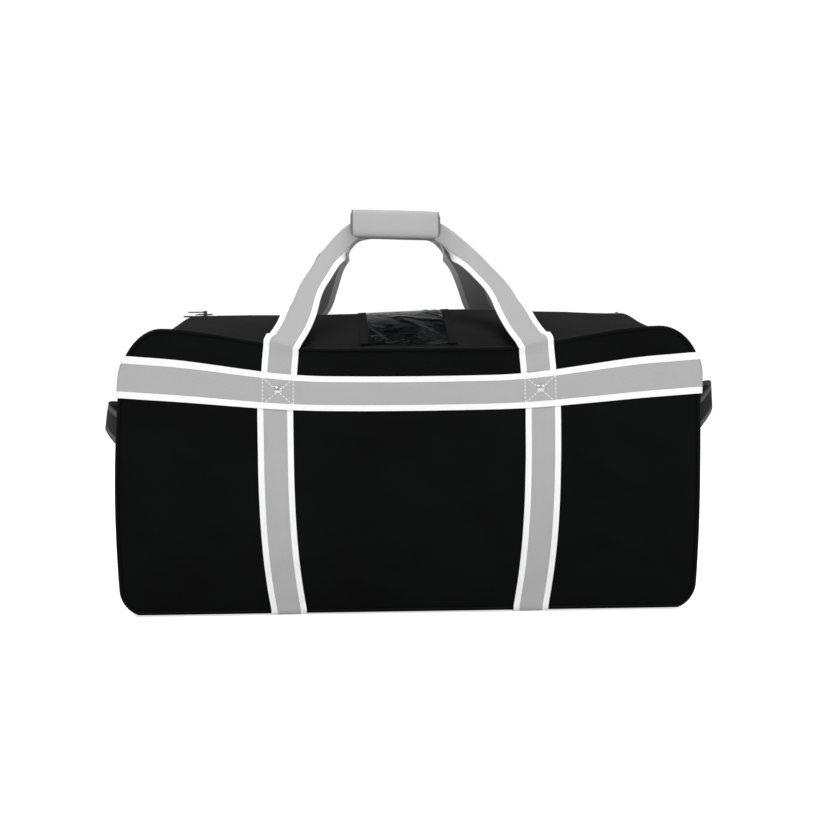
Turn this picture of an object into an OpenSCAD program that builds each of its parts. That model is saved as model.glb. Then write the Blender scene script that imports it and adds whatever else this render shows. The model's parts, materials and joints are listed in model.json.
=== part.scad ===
// Hockey equipment bag: a stuffed rectangular duffel with a centre zip,
// webbing straps that run right round it, two carry handles and a wrap grip.
// X runs along the bag, Y to its back, Z up. The origin is the middle of its foot.

/* [Body] */
// Length of the body from end to end
body_len = 840; // [760:10:1000]
// Depth between the front and rear seams
body_depth = 430; // [380:10:520]
// Height of the seams at the top of the front and rear panels
seam_h = 388; // [330:2:460]
// Rise of the crest above the seams
crest_rise = 42; // [30:1:55]
// Thickness of the padded cloth panels
panel_t = 4; // [3:0.5:6]
// Outward swell of the front and rear panels
side_swell = 14; // [8:1:20]
// Radius of the front and rear panels' top corners
corner_top_r = 55; // [40:1:70]
// Radius of the front and rear panels' bottom corners
corner_bot_r = 35; // [20:1:50]
// Width of the piping bead
piping_w = 5; // [4:0.5:7]
// Thickness of the stiffening board in the base
board_t = 3; // [2:0.5:5]

/* [Webbing] */
// Width of the webbing
webbing_w = 50.8; // [38:0.1:60]
// Thickness of the webbing
webbing_t = 2; // [1.5:0.1:3]
// Distance from the middle of the bag to a strap, at its top
strap_x = 188; // [150:1:220]
// How far a strap leans towards the middle at its foot
strap_lean = 14; // [0:1:30]
// Height of the belt's centre line in the middle of the bag
belt_z = 315; // [260:1:330]
// How much higher the belt runs at the ends of the bag
belt_sag = 18; // [5:1:24]
// Radius of the rivet heads
rivet_r = 6; // [4:0.5:9]

/* [Zip] */
// Half the length of the flaps that the zip parts
flap_half = 290; // [240:5:300]
// Width of the closed zip across both tapes
zip_w = 32; // [28:1:40]
// Width of one row of teeth
teeth_w = 1.8; // [1.5:0.1:3]
// Length of the slider
slider_len = 22; // [18:1:26]
// Length of the pull tab
pull_len = 26; // [20:1:28]

/* [Handles] */
// Length of the front handle from its bend to its far edge
handle_len = 284; // [250:1:320]
// How much shorter the rear handle is
rear_handle_less = 20; // [15:1:40]
// Lean of the joined handles away from upright
handle_lean = 51; // [45:1:60]
// Width of the webbing where it is folded into the grip
folded_w = 38; // [30:1:44]
// Length of the grip
grip_len = 144; // [110:1:160]
// Height of the grip
grip_h = 46; // [42:1:60]
// Thickness of the grip
grip_t = 26; // [18:1:34]
// Distance that an end handle stands out
end_handle_out = 36; // [30:1:45]
// Span of an end handle between its sewn feet
end_handle_span = 180; // [140:5:220]
// Height of the end handles' centre
end_handle_z = 257; // [230:1:262]

/* [Window] */
// Width of the clear card window
window_w = 122; // [80:1:150]
// Width of the tape that binds the window's sides
binding_w = 12; // [8:1:16]

/* [Hidden] */
$fn = 64;

// Clearance between sewn layers
fit = 0.3;
half_len = body_len / 2;
half_depth = body_depth / 2;
crest_z = seam_h + crest_rise;
base_z = webbing_t + fit;
far = body_len;

// The front and rear panels swell as arcs about these centres
side_mid_z = seam_h / 2;
side_r = (side_mid_z * side_mid_z + side_swell * side_swell) / (2 * side_swell);
side_cy = half_depth + side_swell - side_r;
// The top is one arc from seam to seam
crest_r = (half_depth * half_depth + crest_rise * crest_rise) / (2 * crest_rise);
crest_cz = crest_z - crest_r;

// Layers on a panel, counted outwards from its face
strap_in = fit;
strap_out = strap_in + webbing_t;
belt_in = strap_out + fit;
belt_out = belt_in + webbing_t;
belt_end_z = belt_z + belt_sag;
belt_arc_r = (half_len * half_len + belt_sag * belt_sag) / (2 * belt_sag);

// The saddle at each end of the zip falls from the crest to the seam
saddle_top_x = flap_half + slider_len + pull_len + 7;
saddle_foot_x = max(half_len - corner_top_r, saddle_top_x + 20);
zip_end_x = saddle_top_x - 4;
teeth_gap = 3;
teeth_z = crest_z - 3.2;
teeth_h = 3;
tape_z = crest_z - 2.6;
tape_t = 1.6;
slider_rest_x = -(flap_half + slider_len / 2 + 7);
slider_plate_t = 2;
slider_half_w = 6;
pull_z = crest_z + 5;
pull_pin_r = 1.1;
pull_eye_r = 2.1;

// The straps bend into the handles just above the seam
bend_y = half_depth + 4.5;
strap_top_z = seam_h + 2;
bend_z = strap_top_z + fit;
grip_s = handle_len - folded_w / 2;
wrap_face = grip_t / 2;
tape_strip_t = 1;
wrap_skin_t = 2;

// Y of the front face at height z, moved outwards by o
function face_y(z, o) = -(side_cy + sqrt(pow(side_r + o, 2) - pow(z - side_mid_z, 2)));
// Middle of a strap at height z
function strap_mid(z) = strap_x - strap_lean * (1 - z / belt_z);

// Draws a (y, z) shape along X
module along_x(x0, x1) {
    translate([x0, 0, 0]) rotate([90, 0, 90]) linear_extrude(x1 - x0) children();
}

// Draws an (x, z) shape along Y
module along_y(y0, y1) {
    translate([0, y1, 0]) rotate([90, 0, 0]) linear_extrude(y1 - y0) children();
}

// Turns a front piece into its rear twin
module to_rear() {
    mirror([0, 1, 0]) children();
}

// Outline of the front panel in (x, z), drawn in from the seam by i
module outline(i) {
    top_r = corner_top_r - i;
    bot_r = corner_bot_r - i;
    x_top = half_len - corner_top_r;
    x_bot = half_len - corner_bot_r;
    z_top = seam_h - corner_top_r;
    z_bot = base_z + corner_bot_r;
    translate([-(half_len - i), z_bot]) square([2 * (half_len - i), z_top - z_bot]);
    translate([-x_top, z_top - 1]) square([2 * x_top, top_r + 1]);
    translate([-x_bot, base_z + i]) square([2 * x_bot, bot_r + 1]);
    for (side = [-1, 1]) {
        translate([side * x_top, z_top]) circle(top_r);
        translate([side * x_bot, z_bot]) circle(bot_r);
    }
}

// Front cloth layer in (y, z), from o0 to o1 outside the panel's face
module front_layer(o0, o1, z0, z1) {
    intersection() {
        translate([-half_depth - side_swell - 20, z0]) square([half_depth, z1 - z0]);
        difference() {
            translate([-side_cy, side_mid_z]) circle(side_r + o1, $fn = 360);
            translate([-side_cy, side_mid_z]) circle(side_r + o0, $fn = 360);
        }
    }
}

// Everything between the front and rear faces in (y, z), moved out by o
module between_faces(o) {
    intersection() {
        translate([-side_cy, side_mid_z]) circle(side_r + o, $fn = 360);
        translate([side_cy, side_mid_z]) circle(side_r + o, $fn = 360);
    }
}

// Top cloth layer in (y, z), from o0 to o1 outside it and between y0 and y1
module top_layer(o0, o1, y0, y1) {
    intersection() {
        translate([y0, seam_h - 20]) square([y1 - y0, crest_rise + 40]);
        difference() {
            translate([0, crest_cz]) circle(crest_r + o1, $fn = 360);
            translate([0, crest_cz]) circle(crest_r + o0, $fn = 360);
        }
    }
}

// Cloth panels
module face_panel() {
    intersection() {
        along_x(-far, far) front_layer(-panel_t, 0, -piping_w, crest_z);
        along_y(-far, 0) outline(piping_w + fit);
    }
}

module front_panel() {
    color("#111213") face_panel();
}

module rear_panel() {
    color("#111213") to_rear() face_panel();
}

// The strip that runs round the bag between the front and rear panels
module gusset() {
    intersection() {
        along_x(-far, far) between_faces(-piping_w - fit);
        along_y(-far, far) difference() {
            outline(0);
            outline(panel_t);
        }
    }
}

module left_end_panel() {
    x_in = half_len - corner_bot_r + fit;
    z_up = seam_h - corner_top_r - fit;
    color("#111213") intersection() {
        gusset();
        translate([-half_len - 1, -half_depth - 50, 0])
            cube([half_len + 1 - x_in, body_depth + 100, z_up]);
    }
}

module right_end_panel() {
    mirror([1, 0, 0]) left_end_panel();
}

module base_panel() {
    x_in = half_len - corner_bot_r;
    color("#16181a") intersection() {
        gusset();
        translate([-x_in, -half_depth - 50, 0]) cube([2 * x_in, body_depth + 100, corner_bot_r]);
    }
}

module base_board() {
    inset = 18;
    half_x = half_len - corner_bot_r - inset;
    half_y = half_depth - inset;
    color("#2a2a2c") translate([-half_x, -half_y, base_z + panel_t + fit])
        cube([2 * half_x, 2 * half_y, board_t]);
}

// Saddle from the crest down to the end corner, as a solid
module saddle_solid(x_in) {
    intersection() {
        along_x(-half_len, -x_in) intersection() {
            between_faces(-piping_w - fit);
            translate([0, crest_cz]) circle(crest_r, $fn = 360);
        }
        along_y(-far, far) polygon([
            [-saddle_foot_x - 1, seam_h - panel_t],
            [-saddle_foot_x - 1, seam_h],
            [-saddle_top_x, crest_z + 1],
            [-x_in, crest_z + 1],
            [-x_in, seam_h - panel_t]
        ]);
    }
}

module top_left_yoke() {
    corner_x = half_len - corner_top_r;
    color("#111213") difference() {
        union() {
            intersection() {
                gusset();
                translate([-half_len - 1, -far, seam_h - corner_top_r])
                    cube([corner_top_r + 1, 2 * far, corner_top_r + 1]);
            }
            intersection() {
                gusset();
                translate([-corner_x - 1, -far, seam_h - panel_t - 1])
                    cube([corner_x + 1 - saddle_foot_x + 2, 2 * far, panel_t + 2]);
            }
            difference() {
                saddle_solid(flap_half + fit);
                translate([panel_t, 0, -panel_t]) saddle_solid(flap_half - 2 * panel_t);
            }
        }
        translate([-zip_end_x - fit, -zip_w / 2, seam_h])
            cube([zip_end_x - flap_half + 2, zip_w, crest_rise + 5]);
    }
}

module top_right_yoke() {
    mirror([1, 0, 0]) top_left_yoke();
}

module piping() {
    intersection() {
        along_x(-far, far) front_layer(-piping_w, 0, -piping_w, crest_z);
        along_y(-far, 0) difference() {
            outline(0);
            outline(piping_w);
        }
    }
}

module front_piping() {
    color("#0b0b0c") piping();
}

module rear_piping() {
    color("#0b0b0c") to_rear() piping();
}

// The belt of webbing right round the bag
module belt_face() {
    intersection() {
        along_x(-half_len - strap_out, half_len + strap_out)
            front_layer(belt_in, belt_out, belt_z - webbing_w, belt_end_z + webbing_w);
        along_y(-far, 0) intersection() {
            translate([-half_len - strap_out, 0]) square([body_len + 2 * strap_out, crest_z]);
            difference() {
                translate([0, belt_z + belt_arc_r]) circle(belt_arc_r + webbing_w / 2, $fn = 720);
                translate([0, belt_z + belt_arc_r]) circle(belt_arc_r - webbing_w / 2, $fn = 720);
            }
        }
    }
}

module belt_front() {
    color("#b2b2b2") belt_face();
}

module belt_rear() {
    color("#b2b2b2") to_rear() belt_face();
}

module belt_left() {
    color("#b2b2b2") along_x(-half_len - strap_out, -half_len - strap_in) intersection() {
        between_faces(strap_out);
        translate([-far, belt_end_z - webbing_w / 2]) square([2 * far, webbing_w]);
    }
}

module belt_right() {
    mirror([1, 0, 0]) belt_left();
}

// Straps up the faces and under the base
module strap_right_face() {
    color("#b2b2b2") intersection() {
        along_x(0, half_len) front_layer(strap_in, strap_out, 0, strap_top_z);
        along_y(-far, 0) polygon([
            [strap_mid(0) - webbing_w / 2, 0],
            [strap_mid(0) + webbing_w / 2, 0],
            [strap_x + webbing_w / 2, belt_z],
            [strap_x + webbing_w / 2, strap_top_z],
            [strap_x - webbing_w / 2, strap_top_z],
            [strap_x - webbing_w / 2, belt_z]
        ]);
    }
}

module front_strap_left() {
    mirror([1, 0, 0]) strap_right_face();
}

module front_strap_right() {
    strap_right_face();
}

module rear_strap_left() {
    to_rear() mirror([1, 0, 0]) strap_right_face();
}

module rear_strap_right() {
    to_rear() strap_right_face();
}

module base_strap_right() {
    reach = -face_y(0, 0) - fit;
    color("#b2b2b2") translate([strap_mid(0) - webbing_w / 2, -reach, 0])
        cube([webbing_w, 2 * reach, webbing_t]);
}

module base_strap_left() {
    mirror([1, 0, 0]) base_strap_right();
}

// Domed rivets through each crossing of belt and strap
module rivet() {
    rotate_extrude() polygon([
        [0, 0], [rivet_r, 0], [rivet_r, 1], [rivet_r * 0.8, 2.2], [rivet_r * 0.4, 2.9], [0, 2.9]
    ]);
}

module face_rivets() {
    drop = belt_arc_r - sqrt(belt_arc_r * belt_arc_r - strap_x * strap_x);
    z = belt_z + drop;
    tilt = asin((z - side_mid_z) / (side_r + belt_out));
    for (side = [-1, 1])
        translate([side * strap_x, face_y(z, belt_out + fit), z]) rotate([90 - tilt, 0, 0]) rivet();
}

module front_rivets() {
    color("#c9c9c9") face_rivets();
}

module rear_rivets() {
    color("#c9c9c9") to_rear() face_rivets();
}

// A handle drawn flat: x across, y up from the bend, z its thickness
module handle_web(length) {
    low = length - folded_w;
    fold_x = grip_len / 2 + 1;
    inner_x = fold_x + 6;
    outer_x = fold_x + 33;
    color("#b2b2b2") translate([0, 0, -webbing_t / 2]) linear_extrude(webbing_t) polygon([
        [-strap_x - webbing_w / 2, 0],
        [-outer_x, low - 10],
        [-fold_x, length],
        [fold_x, length],
        [outer_x, low - 10],
        [strap_x + webbing_w / 2, 0],
        [strap_x - webbing_w / 2, 0],
        [inner_x, low - 14],
        [fold_x, low],
        [-fold_x, low],
        [-inner_x, low - 14],
        [-strap_x + webbing_w / 2, 0]
    ]);
}

// Stands a flat handle up at the front bend and leans it over the bag
module at_front_bend() {
    translate([0, -bend_y, bend_z]) rotate([90 - handle_lean, 0, 0]) children();
}

module front_handle() {
    at_front_bend() handle_web(handle_len);
}

module rear_handle() {
    to_rear() at_front_bend() handle_web(handle_len - rear_handle_less);
}

// Rounded block along X, in the flat handle's frame
module grip_block(len, h, t, r) {
    rotate([90, 0, 90]) linear_extrude(len, center = true) {
        square([h - 2 * r, t], center = true);
        square([h, t - 2 * r], center = true);
        for (u = [-1, 1], v = [-1, 1])
            translate([u * (h / 2 - r), v * (t / 2 - r)]) circle(r);
    }
}

module grip_wrap() {
    color("#b2b2b2") at_front_bend() translate([0, grip_s, 0]) difference() {
        grip_block(grip_len, grip_h, grip_t, 9);
        cube([grip_len + 2, folded_w + 2 * fit, webbing_t + 2 * fit], center = true);
    }
}

// Strips of hook and loop, then the outer skin that closes the grip
module grip_strip(o, t, h) {
    at_front_bend() translate([0, grip_s, wrap_face + o + t / 2])
        cube([grip_len - 8, h, t], center = true);
}

module loop_strip() {
    color("#8e8e8e") grip_strip(fit, tape_strip_t, 24);
}

module hook_strip() {
    color("#7a7a7a") grip_strip(2 * fit + tape_strip_t, tape_strip_t, 24);
}

module wrap_flap() {
    color("#b2b2b2") grip_strip(3 * fit + 2 * tape_strip_t, wrap_skin_t, 34);
}

// End handles: an arch of webbing over a strip sewn to the end
module left_handle_base() {
    reach = end_handle_span / 2 + 22;
    color("#3a3a3a") translate([-half_len - strap_out, -reach, end_handle_z - webbing_w / 2])
        cube([webbing_t, 2 * reach, webbing_w]);
}

module right_handle_base() {
    mirror([1, 0, 0]) left_handle_base();
}

module left_end_handle() {
    half_span = end_handle_span / 2;
    arch_r = (half_span * half_span + end_handle_out * end_handle_out) / (2 * end_handle_out);
    foot_x = -half_len - strap_out - fit;
    cx = foot_x - end_handle_out + arch_r;
    color("#3a3a3a") translate([0, 0, end_handle_z - webbing_w / 2]) linear_extrude(webbing_w) {
        intersection() {
            translate([foot_x - 2 * end_handle_out, -half_span])
                square([2 * end_handle_out, 2 * half_span]);
            difference() {
                translate([cx, 0]) circle(arch_r, $fn = 180);
                translate([cx, 0]) circle(arch_r - webbing_t, $fn = 180);
            }
        }
        for (side = [-1, 1])
            translate([foot_x - webbing_t, side * (half_span + 7) - 11]) square([webbing_t, 22]);
    }
}

module right_end_handle() {
    mirror([1, 0, 0]) left_end_handle();
}

// Flaps on each side of the zip
module flap() {
    seam_gap = piping_w + 1;
    along_x(-flap_half, flap_half)
        top_layer(-panel_t, 0, -half_depth + seam_gap, -zip_w / 2);
}

module front_flap() {
    color("#111213") flap();
}

module rear_flap() {
    color("#111213") to_rear() flap();
}

// Zip tape and teeth of the front half, between x0 and x1
module tape(x0, x1) {
    y_in = teeth_gap / 2 + teeth_w + fit;
    translate([x0, -zip_w / 2 + fit, tape_z]) cube([x1 - x0, zip_w / 2 - fit - y_in, tape_t]);
}

module teeth(x0, x1) {
    translate([x0, -teeth_gap / 2 - teeth_w, teeth_z]) cube([x1 - x0, teeth_w, teeth_h]);
}

module zip_tape_front() {
    color("#101010") tape(-flap_half, flap_half);
}

module zip_tape_rear() {
    color("#101010") to_rear() tape(-flap_half, flap_half);
}

module zip_chain_front() {
    color("#1b1b1b") teeth(-flap_half, flap_half);
}

module zip_chain_rear() {
    color("#1b1b1b") to_rear() teeth(-flap_half, flap_half);
}

// The zip's ends, sewn into the yokes
module zip_end_left() {
    color("#101010") for (turn = [0, 1]) mirror([0, turn, 0]) {
        tape(-zip_end_x, -flap_half - fit);
        teeth(-zip_end_x, -flap_half - fit);
    }
}

module zip_end_right() {
    mirror([1, 0, 0]) zip_end_left();
}

module zip_stops() {
    stop_len = 3;
    left_x = slider_rest_x - slider_len / 2 - stop_len - 1;
    right_x = zip_end_x - stop_len;
    color("#8a8a8a") for (x = [left_x, right_x])
        translate([x, -4, teeth_z + teeth_h + fit]) cube([stop_len, 8, 1.4]);
}

module zip_slider() {
    top_z = crest_z + 0.4;
    low_z = teeth_z - 0.4 - slider_plate_t;
    lug_in = 4.4;
    color("#9a9a9a") translate([slider_rest_x, 0, 0]) {
        for (z = [low_z, top_z])
            translate([-slider_len / 2, -slider_half_w, z])
                cube([slider_len, 2 * slider_half_w, slider_plate_t]);
        translate([-3, -1.1, low_z]) cube([6, 2.2, top_z - low_z + 1]);
        for (side = [-1, 1])
            translate([-2.5, side * (lug_in + slider_half_w) / 2 - 0.8, top_z + slider_plate_t - 0.1])
                cube([5, 1.6, pull_z - top_z - slider_plate_t + 2]);
        translate([0, -slider_half_w + 0.4, pull_z]) rotate([-90, 0, 0])
            cylinder(r = pull_pin_r, h = 2 * (slider_half_w - 0.4));
    }
}

module zip_pull() {
    half_w = 4;
    color("#9a9a9a") translate([slider_rest_x, 0, pull_z]) difference() {
        union() {
            translate([0, -half_w, 0]) rotate([-90, 0, 0]) cylinder(r = pull_eye_r, h = 2 * half_w);
            translate([-pull_len, -half_w, -0.9]) cube([pull_len, 2 * half_w, 1.8]);
        }
        translate([0, -half_w - 1, 0]) rotate([-90, 0, 0])
            cylinder(r = pull_pin_r + 0.06, h = 2 * half_w + 2);
    }
}

// Clear card window on the front flap, between two bindings
module window_strip(x0, x1, o, t) {
    along_x(x0, x1)
        top_layer(o, o + t, -half_depth + 2 * piping_w, -zip_w / 2 - 8);
}

module id_window() {
    color("#dfe3e6", 0.5) window_strip(-window_w / 2, window_w / 2, fit, 1);
}

module window_binding_right() {
    x0 = window_w / 2 + fit;
    color("#161616") window_strip(x0, x0 + binding_w, fit, 1.5);
}

module window_binding_left() {
    mirror([1, 0, 0]) window_binding_right();
}

front_panel();
rear_panel();
left_end_panel();
right_end_panel();
base_panel();
base_board();
top_left_yoke();
top_right_yoke();
front_piping();
rear_piping();
belt_front();
belt_rear();
belt_left();
belt_right();
front_strap_left();
front_strap_right();
rear_strap_left();
rear_strap_right();
base_strap_left();
base_strap_right();
front_rivets();
rear_rivets();
front_handle();
rear_handle();
grip_wrap();
wrap_flap();
hook_strip();
loop_strip();
left_end_handle();
right_end_handle();
left_handle_base();
right_handle_base();
front_flap();
rear_flap();
zip_tape_front();
zip_tape_rear();
zip_chain_front();
zip_chain_rear();
zip_end_left();
zip_end_right();
zip_stops();
zip_slider();
zip_pull();
id_window();
window_binding_left();
window_binding_right();
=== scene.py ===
# %% [markdown]
# # Hockey equipment bag
# A stuffed rectangular duffel of black coated polyester: piped seams, a belt and two
# straps of grey webbing with white edges, two carry handles joined by a grip, a clear
# card window and a zip along the crest. Everything is in metres in the CAD frame:
# X along the bag, Y to its back, Z up.

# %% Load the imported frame
import json
import math

import bpy
import numpy as np
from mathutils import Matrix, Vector, noise


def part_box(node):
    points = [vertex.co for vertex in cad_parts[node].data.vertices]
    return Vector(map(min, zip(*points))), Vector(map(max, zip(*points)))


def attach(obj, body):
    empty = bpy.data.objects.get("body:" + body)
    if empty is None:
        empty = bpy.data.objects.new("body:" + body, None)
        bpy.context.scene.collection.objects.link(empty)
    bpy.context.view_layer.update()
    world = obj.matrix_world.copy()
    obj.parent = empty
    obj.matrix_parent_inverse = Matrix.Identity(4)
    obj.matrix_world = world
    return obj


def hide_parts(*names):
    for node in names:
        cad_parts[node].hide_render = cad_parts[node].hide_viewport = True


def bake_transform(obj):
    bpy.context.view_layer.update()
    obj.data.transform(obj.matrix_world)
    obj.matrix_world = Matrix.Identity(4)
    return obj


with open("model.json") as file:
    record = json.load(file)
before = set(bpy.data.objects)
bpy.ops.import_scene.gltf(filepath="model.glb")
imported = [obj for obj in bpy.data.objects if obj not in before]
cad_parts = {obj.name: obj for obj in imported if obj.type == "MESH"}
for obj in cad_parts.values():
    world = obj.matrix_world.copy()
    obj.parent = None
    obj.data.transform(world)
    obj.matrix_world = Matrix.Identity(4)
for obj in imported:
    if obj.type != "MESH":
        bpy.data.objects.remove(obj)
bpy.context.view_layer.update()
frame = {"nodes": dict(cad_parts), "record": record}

JOINTS = {joint["name"]: joint for joint in frame["record"]["behaviour"]["joints"]}

# %% [markdown]
# ## Driving sizes
# The visual pieces take their place from the CAD nodes, so that a change there carries
# over. Only what the CAD doesn't hold, such as a fold's depth, is given here.

# %% Sizes from the frame
MM = 0.001
piping_low, piping_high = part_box("front_piping")
base_strap_low, base_strap_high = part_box("base_strap_right")
belt_end_low, belt_end_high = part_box("belt_left")
flap_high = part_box("front_flap")[1]
grip_low, grip_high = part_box("grip_wrap")

HALF_LEN = piping_high.x
FOOT_Z = piping_low.z
SEAM_Z = piping_high.z
SWELL = 14 * MM
HALF_DEPTH = -piping_low.y - SWELL
CREST = flap_high.z - SEAM_Z
FLAP_HALF = flap_high.x
ZIP_HALF = -flap_high.y
WEB = base_strap_high.x - base_strap_low.x
WEB_T = base_strap_high.z
STRAP_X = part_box("front_strap_right")[1].x - WEB / 2
STRAP_FOOT_X = (base_strap_low.x + base_strap_high.x) / 2
BELT_END_Z = (belt_end_low.z + belt_end_high.z) / 2 + 3 * MM
BELT_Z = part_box("belt_front")[0].z + WEB / 2 + 7 * MM
TOP_R = 55 * MM
FOOT_R = 36 * MM
CLOTH_T = 3 * MM
DETAIL = 1.0
print(f"body {2 * HALF_LEN:.3f} x {2 * HALF_DEPTH:.3f} m, seam at {SEAM_Z:.3f} m")

# %% [markdown]
# ## Camera
# The bag is seen from a little above its middle and from just left of centre, with a
# longish lens, so its ends hardly show.

# %% Camera
CAMERA_AT = (-0.105, -2.41, 0.469)
CAMERA_TURN = (math.radians(85.44), math.radians(0.29), math.radians(-2.84))
LENS_MM = 67.0

camera_data = bpy.data.cameras.new("studio_camera")
camera_data.lens = LENS_MM
camera_data.sensor_width = 36.0
camera = bpy.data.objects.new("studio_camera", camera_data)
camera.location = CAMERA_AT
camera.rotation_euler = CAMERA_TURN
bpy.context.scene.collection.objects.link(camera)
bpy.context.scene.camera = camera

# %% [markdown]
# ## Small helpers
# Cloth is made from a flat grid, the way a pattern piece is cut flat. Each point is then
# moved to its place on the bag, and Solidify gives the cloth its thickness. The grid's
# UV map is in metres, so a weave has its true scale wherever the piece bends.

# %% Selecting, applying and smoothing
def only(piece):
    bpy.ops.object.select_all(action="DESELECT")
    piece.select_set(True)
    bpy.context.view_layer.objects.active = piece


def apply_modifier(piece, kind, **settings):
    only(piece)
    modifier = piece.modifiers.new(kind.lower(), kind)
    for key, value in settings.items():
        setattr(modifier, key, value)
    bpy.ops.object.modifier_apply(modifier=modifier.name)


def smooth(piece, angle=50):
    only(piece)
    bpy.ops.object.shade_smooth_by_angle(angle=math.radians(angle))


def edit_all(piece, operator, **settings):
    """Runs one edit mode operator on the whole of a piece."""
    only(piece)
    bpy.ops.object.mode_set(mode="EDIT")
    bpy.ops.mesh.select_all(action="SELECT")
    operator(**settings)
    bpy.ops.object.mode_set(mode="OBJECT")


# %% A cloth sheet from a grid
MERGE_GAP = 0.01 * MM


def cloth(name, steps_u, steps_v, place, size, thickness, faces_to, closed=False):
    """A grid bent by place(u, v), with thickness added on the side away from faces_to."""
    bpy.ops.mesh.primitive_grid_add(
        x_subdivisions=int(steps_u * DETAIL), y_subdivisions=int(steps_v * DETAIL),
        size=1, location=(0, 0, 0))
    piece = bpy.context.object
    piece.name = name
    mesh = piece.data
    flat = np.zeros(len(mesh.vertices) * 3)
    mesh.vertices.foreach_get("co", flat)
    u, v, _ = flat.reshape(-1, 3).T + 0.5
    points = np.stack(place(u, v), axis=1)
    corner = np.zeros(len(mesh.loops), dtype=np.int32)
    mesh.loops.foreach_get("vertex_index", corner)
    layer = mesh.uv_layers.active or mesh.uv_layers.new(name="cloth")
    layer.name = "cloth"
    uv = np.stack([(u[corner] - 0.5) * size[0], (v[corner] - 0.5) * size[1]], axis=1)
    layer.data.foreach_set("uv", uv.astype(np.float32).ravel())
    mesh.vertices.foreach_set("co", points.ravel())
    mesh.update()
    if closed:
        edit_all(piece, bpy.ops.mesh.remove_doubles, threshold=MERGE_GAP)
    facing = sum(face.normal.dot(faces_to(face.center)) * face.area for face in mesh.polygons)
    if facing < 0:
        edit_all(piece, bpy.ops.mesh.flip_normals)
    apply_modifier(
        piece, "SOLIDIFY", thickness=thickness, offset=-1,
        material_offset=1, material_offset_rim=0, use_even_offset=False)
    smooth(piece)
    return piece


def from_middle(point):
    """Away from the middle of the bag."""
    return Vector((point.x / 3, point.y, (point.z - 0.2)))


def dress(piece, body, outer, inner=None):
    """Puts materials on a piece and lets it ride on a body."""
    piece.data.materials.clear()
    piece.data.materials.append(outer)
    piece.data.materials.append(inner or outer)
    if body:
        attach(piece, body)
    print(piece.name, len(piece.data.polygons), "faces")


ENDS = ((-1, "left"), (1, "right"))
FACES = ((1, "front"), (-1, "rear"))

# %% [markdown]
# ## The shape of the stuffed bag
# A full bag is a box whose panels swell between their seams. Each seam is pulled into a
# curve: the ends stand out in the middle, the top sags along its front edge, and small
# folds run where the cloth is slack. These functions give that shape for any point, so
# panels, straps and stitches all follow one surface.

# %% Outline and swell
END_BULGE = 7 * MM
SETTLED = 9 * MM
SEAM_SAG = 5 * MM
CORNER_RISE = 29 * MM
PANEL_SLACK = 3.2 * MM


def step01(x):
    """A smooth step from 0 to 1."""
    x = np.clip(x, 0, 1)
    return x * x * (3 - 2 * x)


def half_len_at(z):
    """Half the length of the front panel at a height: widest a little below the middle."""
    share = np.clip(z / SEAM_Z, 0, 1)
    return HALF_LEN - END_BULGE + END_BULGE * np.sin(math.pi * share ** 0.85)


def skew(x, z):
    """The bag has settled a little to its right: more at the top, and only near the ends."""
    return SETTLED * np.clip(z / SEAM_Z, 0, 1) ** 4 * (x / HALF_LEN) ** 4


def fractal(x, y, z, scale, seed):
    """Soft, repeatable noise about zero at each point."""
    shift = Vector((seed, seed * 1.7, 0))
    points = zip(x / scale, y / scale, z / scale)
    return np.array([noise.fractal(Vector(point) + shift, 1.0, 2.0, 3) for point in points])


def fold(x, z, start, end, width, depth, bend=0.0):
    """One soft crease from start to end on the front, as a ridge of a given depth."""
    sx, sz = start
    dx, dz = end[0] - sx, end[1] - sz
    length = math.hypot(dx, dz)
    along = ((x - sx) * dx + (z - sz) * dz) / length
    across = ((x - sx) * dz - (z - sz) * dx) / length + bend * np.sin(math.pi * along / length)
    ends = step01(along / (0.25 * length)) * step01((length - along) / (0.35 * length))
    return depth * ends * np.exp(-(across / width) ** 2)


FOLDS = [
    ((-0.37, 0.26), (-0.24, 0.17), 12 * MM, 2.6 * MM, 0.010),
    ((-0.40, 0.20), (-0.30, 0.08), 14 * MM, 2.2 * MM, -0.012),
    ((-0.15, 0.05), (0.02, 0.025), 10 * MM, 1.8 * MM, 0.008),
    ((0.22, 0.25), (0.39, 0.17), 12 * MM, 2.8 * MM, -0.010),
    ((0.23, 0.12), (0.38, 0.06), 12 * MM, 2.6 * MM, 0.012),
    ((0.20, 0.20), (0.36, 0.10), 16 * MM, -2.2 * MM, 0.010),
    ((0.06, 0.22), (0.13, 0.03), 14 * MM, -1.4 * MM, 0.010),
    ((-0.12, 0.26), (0.05, 0.24), 12 * MM, 1.4 * MM, 0.008),
    ((-0.36, 0.375), (-0.22, 0.36), 7 * MM, 2.4 * MM, 0.004),
    ((0.21, 0.362), (0.37, 0.374), 7 * MM, 2.4 * MM, -0.004),
    ((-0.13, 0.372), (0.14, 0.366), 7 * MM, 1.8 * MM, 0.003),
]


def front_swell(x, z, side=1):
    """How far the front (side 1) or rear (side -1) panel stands out from its seam plane."""
    half = half_len_at(z)
    up = np.clip(1 - ((z - SEAM_Z / 2) / (SEAM_Z / 2)) ** 2, 0, 1)
    along = np.clip(np.abs(x) / half, 0, 1)
    swell = SWELL * up * (1 - 0.8 * along ** 5)
    edge = step01((half - np.abs(x)) / (45 * MM)) * step01((SEAM_Z - z) / (22 * MM)) * step01(z / (40 * MM))
    slack = fractal(x * side, z * 1.6, z * 0, 0.16, 3.1 * side) * PANEL_SLACK
    for start, end, width, depth, bend in FOLDS:
        slack = slack + fold(x * side, z, start, end, width, depth, bend)
    return swell + edge * slack


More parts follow.
